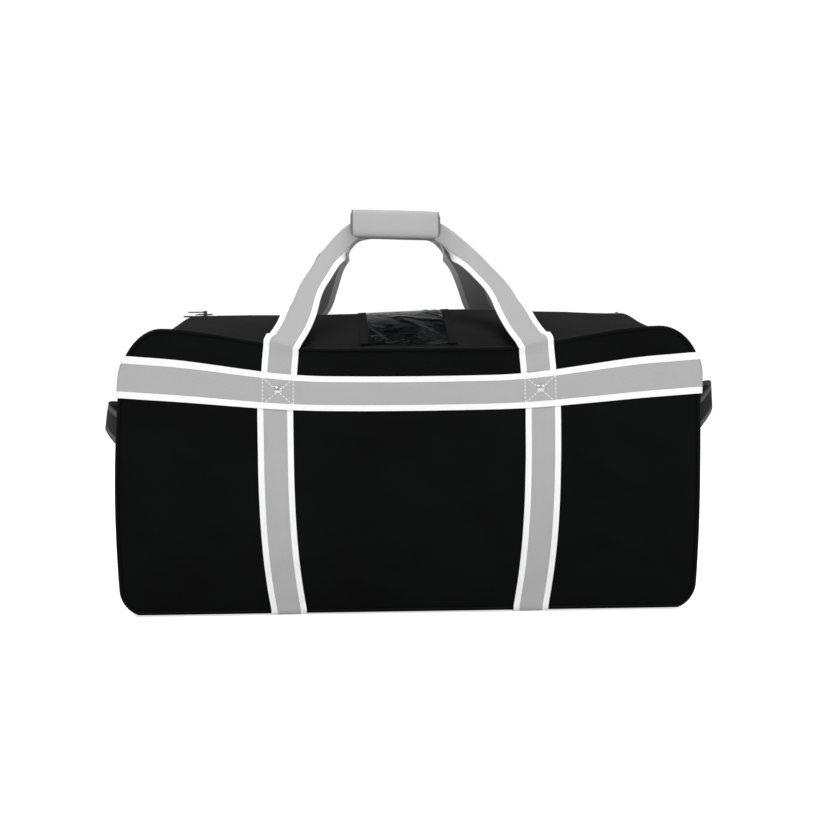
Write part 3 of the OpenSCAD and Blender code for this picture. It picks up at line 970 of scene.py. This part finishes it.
def grip_point(angle, x, out):
    """A point on the grip's rounded section, pulled in at its ends."""
    power = 2 / 4.2
    pull = 1 - 0.05 * np.clip(np.abs(x) / GRIP_HALF, 0, 1) ** 6
    up, aside = np.sin(angle), np.cos(angle)
    tall = (GRIP_TALL + out) * pull * np.sign(up) * np.abs(up) ** power
    thick = (GRIP_THICK + out) * pull * np.sign(aside) * np.abs(aside) ** power
    thick = thick + 0.5 * MM * np.sin(x * 110 + 1) * np.sin(angle * 2)
    y = GRIP_MID[1] + GRIP_UP[1] * tall + GRIP_OUT[1] * thick
    z = GRIP_MID[2] + GRIP_UP[2] * tall + GRIP_OUT[2] * thick + GRIP_TILT * x
    return x + GRIP_MID[0], y, z


def from_grip(point):
    return Vector((0, point.y - GRIP_MID[1], point.z - GRIP_MID[2]))


def round_grip(start, stop, half, out):
    """Part of the way round the grip, from one angle to another."""
    def place(u, v):
        return grip_point(start + (stop - start) * u, (2 * v - 1) * half, out)
    return place


sleeve = cloth(
    "grip_sleeve", 72, 60, round_grip(0, 2 * math.pi, GRIP_HALF, 0), (130 * MM, 2 * GRIP_HALF),
    4 * MM, from_grip, closed=True)
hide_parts("grip_wrap")
dress(sleeve, "front_handle", grip_cloth)

SKIN_OUT = 5.0 * MM
SKIN_FROM = -1.45
SKIN_TO = 2.6
SKIN_HALF = GRIP_HALF - 1.5 * MM

skin = cloth(
    "grip_skin", 60, 60, round_grip(SKIN_FROM, SKIN_TO, SKIN_HALF, SKIN_OUT),
    (120 * MM, 2 * SKIN_HALF), 1.4 * MM, from_grip)
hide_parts("wrap_flap")
dress(skin, "wrap_flap", grip_cloth)

for name, body, out, start, stop in (
        ("loop", "front_handle", 1.0 * MM, 0.5, 1.9), ("hook", "wrap_flap", SKIN_OUT - 1.8 * MM, 1.0, 2.5)):
    patch = cloth(
        f"{name}_patch", 40, 40, round_grip(start, stop, SKIN_HALF - 6 * MM, out),
        (24 * MM, 2 * SKIN_HALF), 0.8 * MM, from_grip)
    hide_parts(f"{name}_strip")
    dress(patch, body, hook_and_loop)


def skin_edge():
    """Points all round the skin's edge."""
    flat = 1 - 2 * np.linspace(0, 1, 40)
    turn = (SKIN_FROM + SKIN_TO - (SKIN_TO - SKIN_FROM) * flat) / 2
    inner = -flat[1:-1] * SKIN_HALF
    angle = np.concatenate([turn, 0 * inner + SKIN_TO, turn[::-1], 0 * inner + SKIN_FROM])
    x = np.concatenate([0 * turn - SKIN_HALF, inner, 0 * turn + SKIN_HALF, -inner])
    return np.stack(grip_point(angle, x, SKIN_OUT - 0.6 * MM), axis=1)


tube("grip_skin_binding", skin_edge(), 1.3 * MM, grip_binding, "wrap_flap")
for x_share, end in ENDS:
    turn = np.linspace(0, 2 * math.pi, 60, endpoint=False)
    ring = np.stack(grip_point(turn, np.full(60, x_share * GRIP_HALF), -1 * MM), axis=1)
    tube(f"grip_end_binding_{end}", ring, 1.6 * MM, grip_binding, "front_handle")

# %% [markdown]
# ## End handles
# A loop of dark webbing stands out from each end, sewn at both feet to a flat strip.
# The loop bows outwards between its feet, and its own stiffness holds it there.

# %% End handles
handle_base_low, handle_base_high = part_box("left_handle_base")
end_loop_low, end_loop_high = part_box("left_end_handle")
BASE_HALF = handle_base_high.y
LOOP_HALF = 90 * MM
FOOT_HALF = end_loop_high.y
LOOP_Z = (end_loop_low.z + end_loop_high.z) / 2
LOOP_OUT = {-1: handle_base_low.x - end_loop_low.x - 3 * MM, 1: handle_base_low.x - end_loop_low.x + 18 * MM}
LOOP_LIFT = {-1: 20 * MM, 1: 46 * MM}


def end_strip_place(x_share, half, out, bow):
    def place(u, v):
        y = (2 * v - 1) * half
        rise = np.clip(1 - (np.abs(y) / LOOP_HALF) ** 2, 0, 1) ** 0.85 * bow
        z = LOOP_Z + (u - 0.5) * WEB * (1 - 0.24 * rise / LOOP_OUT[x_share])
        px, py, _ = gusset_point(x_share, end_s(z, y / HALF_DEPTH), y / HALF_DEPTH, out + rise)
        lift = LOOP_LIFT[x_share] * rise / LOOP_OUT[x_share] * (bow > 0)
        return px, py, z + lift
    return place


for x_share, name in ENDS:
    away = Vector((x_share, 0, 0))
    strip = cloth(
        f"{name}_handle_strip", 12, 90, end_strip_place(x_share, BASE_HALF, STRAP_OUT, 0),
        (WEB, 2 * BASE_HALF), WEB_T, lambda point: away)
    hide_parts(f"{name}_handle_base")
    dress(strip, "bag", dark_webbing)
    loop = cloth(
        f"{name}_handle_loop", 12, 110,
        end_strip_place(x_share, FOOT_HALF, 2 * STRAP_OUT, LOOP_OUT[x_share]), (WEB, 2 * FOOT_HALF), WEB_T,
        lambda point: away)
    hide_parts(f"{name}_end_handle")
    dress(loop, "bag", dark_webbing)

# %% [markdown]
# ## Card window
# The clear vinyl lies over the front flap between two bindings. It is crumpled from
# folding, so it is modelled with ridges of its own, not only with a bump.

# %% Window and its bindings
WINDOW_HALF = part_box("id_window")[1].x
WINDOW_FROM = -1 + 12 * MM / HALF_DEPTH
WINDOW_TO = -ZIP_V - 9 * MM / HALF_DEPTH
BINDING_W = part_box("window_binding_right")[1].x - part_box("window_binding_right")[0].x
BINDING_LAP = 3 * MM
WINDOW_LEN = 180 * MM
RIDGE = 5 * MM
WRINKLE = 1.2 * MM


def crumpled(u, v):
    place = top_strip(-WINDOW_HALF, WINDOW_HALF, WINDOW_FROM, WINDOW_TO, 1.6 * MM)
    x, y, z = place(u, v)
    edge = step01(np.minimum(u, 1 - u) * 12) * step01(np.minimum(v, 1 - v) * 12)
    turned = x + 0.6 * y
    broad = (0.5 - np.minimum(np.abs(fractal(turned, y * 0.5, x * 0, 0.06, 8.2)) * 2, 0.5)) * RIDGE
    fine = np.abs(fractal(turned * 1.2, y, x * 0, 0.03, 2.7)) * WRINKLE
    return x, y, z + edge * (broad + fine)


window = cloth(
    "card_window_vinyl", 110, 130, crumpled, (2 * WINDOW_HALF, WINDOW_LEN), 0.6 * MM, upwards)
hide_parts("id_window")
dress(window, None, clear_vinyl)
hinge_blend(window)
for x_share, end in ENDS:
    near = x_share * (WINDOW_HALF - BINDING_LAP)
    far = near + x_share * BINDING_W
    binding = cloth(
        f"window_binding_{end}_tape", 10, 90, top_strip(near, far, WINDOW_FROM, WINDOW_TO, 2.4 * MM),
        (BINDING_W, WINDOW_LEN), 1.6 * MM, upwards)
    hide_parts(f"window_binding_{end}")
    dress(binding, None, binding_tape)
    hinge_blend(binding)

# %% [markdown]
# ## The zip
# A coil zip has a knitted tape on each side and a row of teeth about every 3 mm. One
# tooth is modelled, and copies of it are laid along each row. Over a flap the tape and
# teeth go with that flap's pieces, and over a yoke they are sewn down.

# %% Copies of one small shape in one mesh
def template(name, size, bevel):
    """A small rounded block, as points and faces."""
    bpy.ops.mesh.primitive_cube_add(size=1, location=(0, 0, 0))
    piece = bpy.context.object
    piece.scale = size
    bpy.ops.object.transform_apply(location=False, rotation=False, scale=True)
    apply_modifier(piece, "BEVEL", width=bevel, segments=1)
    points = np.array([vertex.co for vertex in piece.data.vertices])
    faces = [tuple(face.vertices) for face in piece.data.polygons]
    bpy.data.objects.remove(piece)
    return points, faces


def scatter(name, shape, origins, along, up):
    """One mesh of copies of a shape, each with its own place and directions."""
    points, faces = shape
    side = np.cross(up, along)
    copies = [points @ np.stack([along[i], side[i], up[i]]) + origin for i, origin in enumerate(origins)]
    polys = [tuple(index + i * len(points) for index in face) for i in range(len(origins)) for face in faces]
    mesh = bpy.data.meshes.new(name)
    mesh.from_pydata(np.vstack(copies).tolist(), [], polys)
    mesh.uv_layers.new(name="cloth")
    piece = bpy.data.objects.new(name, mesh)
    bpy.context.scene.collection.objects.link(piece)
    smooth(piece, 40)
    return piece


TOOTH_PITCH = 3.0 * MM
TEETH_V = 2.2 * MM / HALF_DEPTH
TAPE_IN = 3.6 * MM / HALF_DEPTH
TAPE_LOW = -2.2 * MM
END_TAPE_OUT = 4 * MM
tooth = template("tooth", (1.9 * MM, 3.4 * MM, 2.2 * MM), 0.5 * MM)
end_tooth = template("end_tooth", (1.9 * MM, 1.6 * MM, 2.2 * MM), 0.4 * MM)
END_LEVEL = (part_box("zip_end_right")[0].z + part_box("zip_end_right")[1].z) / 2
ZIP_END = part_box("zip_end_right")[1].x


def zip_length(name, x0, x1, side, out, body, level=None):
    """Tape and teeth of one side of the zip between two places; a level holds them straight."""
    strip = top_strip(x0, x1, side * ZIP_V * 1.02, side * TAPE_IN, out - 0.4 * MM)

    def place(u, v):
        x, y, z = strip(u, v)
        return x, y, z if level is None else np.full_like(z, level)

    tape = cloth(
        name + "_tape", max(20, int(abs(x1 - x0) * 300)), 8, place,
        (abs(x1 - x0), 12 * MM), 1.0 * MM, upwards)
    count = int(abs(x1 - x0) / TOOTH_PITCH)
    x = x0 + (x1 - x0) * (np.arange(count) + (0.25 if side < 0 else 0.75)) / count
    s = EDGE_RUN + TOP_HALF - np.abs(x)
    _, y, z = gusset_point(np.where(x < 0, -1, 1), s, np.full(count, side * TEETH_V), out + 0.8 * MM)
    if level is not None:
        z = np.full(count, level)
    places = np.stack([x, y, z], axis=1)
    ahead = np.gradient(places, axis=0)
    ahead /= np.linalg.norm(ahead, axis=1)[:, None]
    up = np.cross(ahead, np.array([0, 1, 0]))
    up = up * np.sign(up[:, 2:])
    teeth = scatter(name + "_teeth", tooth if level is None else end_tooth, places, ahead, up)
    dress(tape, body, zip_knit)
    dress(teeth, body, moulded_teeth)
    return tape, teeth


for flap, (body, side) in FLAPS.items():
    tape, teeth = zip_length(f"zip_{flap}_middle", -MIDDLE_HALF, MIDDLE_HALF, side, TAPE_LOW, body)
    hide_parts(f"zip_tape_{flap}")
    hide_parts(f"zip_chain_{flap}")
    for x_share, end in ENDS:
        near, far = sorted((x_share * MIDDLE_HALF, x_share * FLAP_HALF))
        for piece in zip_length(f"zip_{flap}_{end}", near, far, side, TAPE_LOW, None):
            twist_blend(piece)
    for x_share, end in ENDS:
        tape, teeth = zip_length(
            f"zip_end_{end}_{flap}", x_share * FLAP_HALF, x_share * ZIP_END, side, END_TAPE_OUT, "bag",
            END_LEVEL)
        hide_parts(f"zip_end_{end}")

# %% [markdown]
# ## Stitching
# White thread holds the belt to each strap with a box and a cross. Each stitch is a
# short rounded block, half sunk into the webbing.

# %% Box and cross stitches
STITCH = 3.6 * MM
STITCH_GAP = 1.5 * MM
stitch = template("stitch", (STITCH, 1.1 * MM, 0.9 * MM), 0.28 * MM)


def stitch_row(start, end, side, out):
    """Places and directions of stitches on a panel's webbing between two (x, z) points."""
    length = math.hypot(end[0] - start[0], end[1] - start[1])
    count = max(1, int(length / (STITCH + STITCH_GAP)))
    t = (np.arange(count) + 0.5) / count
    x = start[0] + (end[0] - start[0]) * t
    z = start[1] + (end[1] - start[1]) * t
    places = np.stack(on_face(x, z, out(x, z), side), axis=1)
    ahead = np.array([end[0] - start[0], 0, end[1] - start[1]]) / length
    return places, np.tile(ahead, (count, 1)), np.tile([0.0, -side, 0.0], (count, 1))


def belt_level(x):
    return BELT_Z + (BELT_END_Z - BELT_Z) * (x / HALF_LEN) ** 2


def belt_face_out(x, z):
    return belt_out(x) + 0.1 * MM


BOX_HALF = WEB / 2 - 3.4 * MM
BOX_TALL = WEB / 2 - 6.5 * MM
for side, face in FACES:
    rows = []
    for centre in (-STRAP_X, STRAP_X):
        level = float(belt_level(centre))
        corners = [(centre + i * BOX_HALF, level + j * BOX_TALL)
                   for i, j in ((-1, -1), (1, -1), (1, 1), (-1, 1))]
        for i, j in ((0, 1), (1, 2), (2, 3), (3, 0), (0, 2), (1, 3)):
            rows.append(stitch_row(corners[i], corners[j], side, belt_face_out))
    places, ahead, up = (np.vstack(part) for part in zip(*rows))
    boxes = scatter(f"{face}_box_stitches", stitch, places, ahead, up)
    dress(boxes, "bag", thread_white)


# %% [markdown]
# ## Rivets
# A tubular rivet with a domed, plated head goes through belt and strap at each
# crossing. Its head has a rolled rim that presses into the webbing.

# %% Rivet heads
RIVET_R = (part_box("front_rivets")[1].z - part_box("front_rivets")[0].z) / 2
for side, face in FACES:
    heads = []
    for centre in (-STRAP_X, STRAP_X):
        x = np.array([centre])
        z = belt_level(x) + 2 * MM
        px, py, pz = on_face(x, z, belt_out(x), side)
        for radius, depth, tall in ((RIVET_R, 0.2 * MM, 1.4 * MM), (RIVET_R * 0.8, 0.9 * MM, 2.6 * MM)):
            bpy.ops.mesh.primitive_uv_sphere_add(
                segments=32, ring_count=16, radius=1, location=(px[0], py[0] - side * depth, pz[0]))
            dome = bpy.context.object
            dome.scale = (radius, tall / 2, radius)
            bpy.ops.object.transform_apply(location=True, rotation=False, scale=True)
            dome.data.uv_layers.active.name = "cloth"
            heads.append(dome)
    only(heads[0])
    for dome in heads:
        dome.select_set(True)
    bpy.ops.object.join()
    joined = bpy.context.object
    joined.name = f"{face}_rivet_heads"
    smooth(joined)
    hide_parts(f"{face}_rivets")
    dress(joined, "bag", plated_rivet)

# %% [markdown]
# ## CAD pieces that stay
# Slider, pull, stops and the board have their true shape in the CAD, so they
# only get their finish.

# %% Finishes on CAD nodes
FINISHES = {
    "zip_slider": plated_zinc, "zip_pull": plated_zinc, "zip_stops": plated_zinc,
    "base_board": polyethylene_sheet,
}
for name, material in FINISHES.items():
    held = frame["nodes"][name]
    held.data.materials.clear()
    held.data.materials.append(material)

# %% [markdown]
# ## Studio
# A pale floor catches a soft shadow. To the camera, floor and world are white; the
# lamps are broad and sit at the level where a colour renders about as it is written.

# %% Floor, lamps and world
bpy.ops.mesh.primitive_plane_add(size=30, location=(0, 0, -0.0005))
floor = bpy.context.object
floor.name = "studio_floor"
WHITE = (1, 1, 1, 1)


def seen_or_not(owner, unseen, seen):
    """One value for rays from the camera, straight or through the vinyl, and one for the rest."""
    rays = add_node(owner, "LightPath").outputs
    direct = add_node(
        owner, "Math", {"operation": "MAXIMUM"}, {0: rays["Is Camera Ray"], 1: rays["Is Transmission Ray"]})
    return add_node(owner, "MapRange", {"To Min": unseen, "To Max": seen}, {"Value": direct})


floor_white, sockets, place = new_material(
    "painted_floor", Roughness=0.8, Specular_IOR_Level=0.2, Emission_Color=WHITE)
speck = add_node(floor_white, "TexNoise", {"Scale": 3.0}, {"Vector": place})
colour_by(floor_white, sockets, speck, [(0.0, "#f4f4f4"), (1.0, "#fafafa")])
join(floor_white, seen_or_not(floor_white, 0.0, 0.68), sockets["Emission Strength"])
floor.data.materials.append(floor_white)

world = bpy.data.worlds.new("studio_world")
bpy.context.scene.world = world
world.use_nodes = True
sky = world.node_tree.nodes["Background"].inputs
sky["Color"].default_value = WHITE
join(world, seen_or_not(world, 0.38, 1.0), sky["Strength"])


def lamp(name, place, target, size, power):
    data = bpy.data.lights.new(name, "AREA")
    data.shape = "RECTANGLE"
    data.size, data.size_y = size
    data.energy = power
    made = bpy.data.objects.new(name, data)
    bpy.context.scene.collection.objects.link(made)
    made.location = place
    made.rotation_euler = (Vector(target) - Vector(place)).to_track_quat("-Z", "Y").to_euler()
    return made


lamp("key_lamp", (-1.6, -2.6, 2.6), (0, 0, 0.3), (1.6, 1.2), 66)
lamp("fill_lamp", (2.2, -2.2, 1.6), (0, 0, 0.25), (1.6, 1.6), 30)
lamp("top_lamp", (0.2, 0.9, 3.0), (0, 0, 0.4), (2.0, 1.0), 40)

bpy.context.scene.view_settings.view_transform = "Standard"
